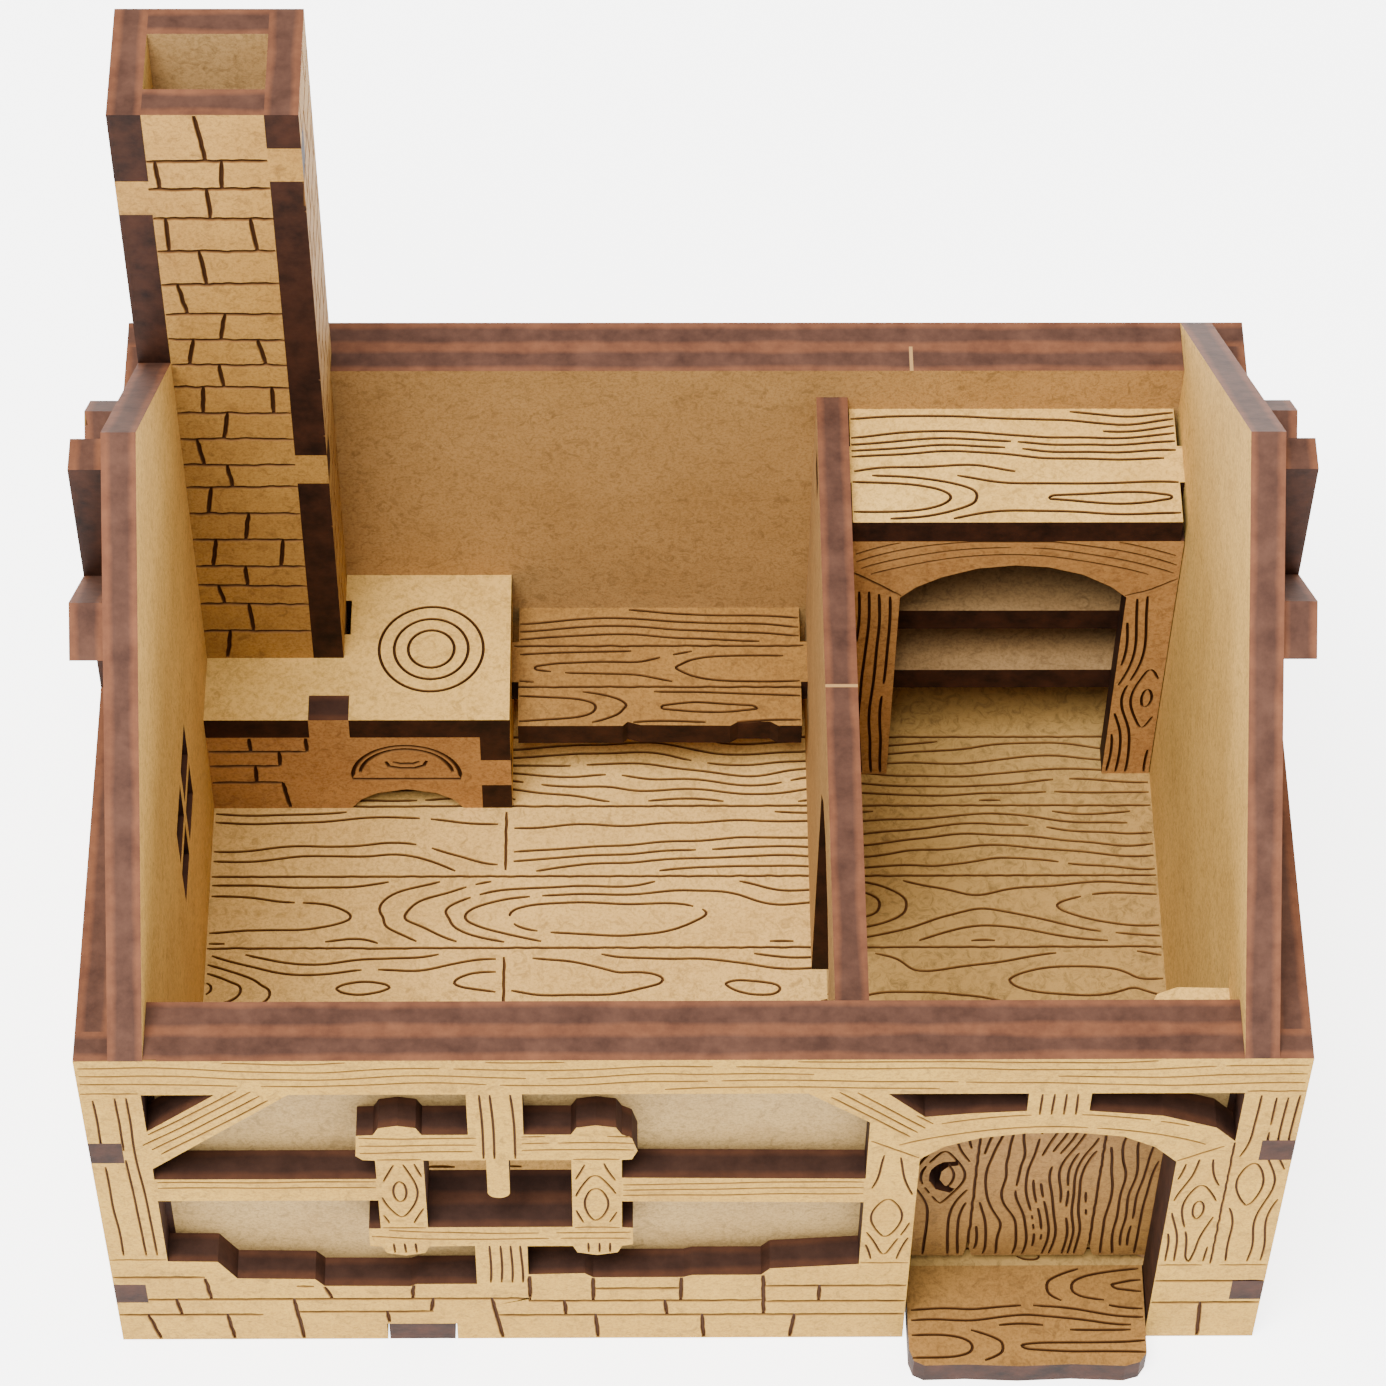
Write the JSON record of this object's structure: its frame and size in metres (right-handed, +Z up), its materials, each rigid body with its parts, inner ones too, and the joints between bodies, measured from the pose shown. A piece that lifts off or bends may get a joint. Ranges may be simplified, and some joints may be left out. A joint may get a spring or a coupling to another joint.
{
  "type": "miniature cottage",
  "caption": "Roofless tabletop cottage of thin boards: timbered walls, gables, stove with tall chimney, bench, cupboard, partition and a pinned front door.",
  "frame": {"origin": "on the ground under the middle of the four outer walls", "axes": "+Z up, +X to the right seen from the front door side, +Y from the front wall to the back wall"},
  "size_m": [0.1072, 0.0873, 0.0984],
  "materials": {
    "mdf_engraved": "matt board, engraved",
    "mdf_front": "matt board, engraved",
    "mdf_plain": "matt board, plain",
    "dowel": "plain dowel"
  },
  "bodies": {
    "house": {"floor_panel": "mdf_engraved", "doorstep": "mdf_engraved", "front_wall_inner": "mdf_plain", "front_wall_timber": "mdf_front", "back_wall_inner": "mdf_plain", "back_wall_timber": "mdf_front", "left_gable_inner": "mdf_plain", "left_gable_timber": "mdf_front", "right_gable_inner": "mdf_plain", "right_gable_timber": "mdf_front", "partition_wall": "mdf_plain", "stove_front": "mdf_engraved", "stove_side": "mdf_plain", "stove_top": "mdf_engraved", "chimney_front": "mdf_engraved", "chimney_side": "mdf_engraved", "chimney_back": "mdf_plain", "bench_top": "mdf_engraved", "cupboard_top": "mdf_engraved", "cupboard_front": "mdf_engraved", "shelf_lower": "mdf_plain", "shelf_upper": "mdf_plain", "door_bracket": "mdf_plain"},
    "door": {"door_leaf": "mdf_engraved", "door_pin_top": "dowel", "door_pin_bottom": "dowel"}
  },
  "joints": [
    {"name": "door_hinge", "type": "hinge", "parent": "house", "child": "door", "pos_m": [0.0435, -0.0335, 0.003], "axis": [0, 0, -1], "range_deg": [0, 90]}
  ]
}
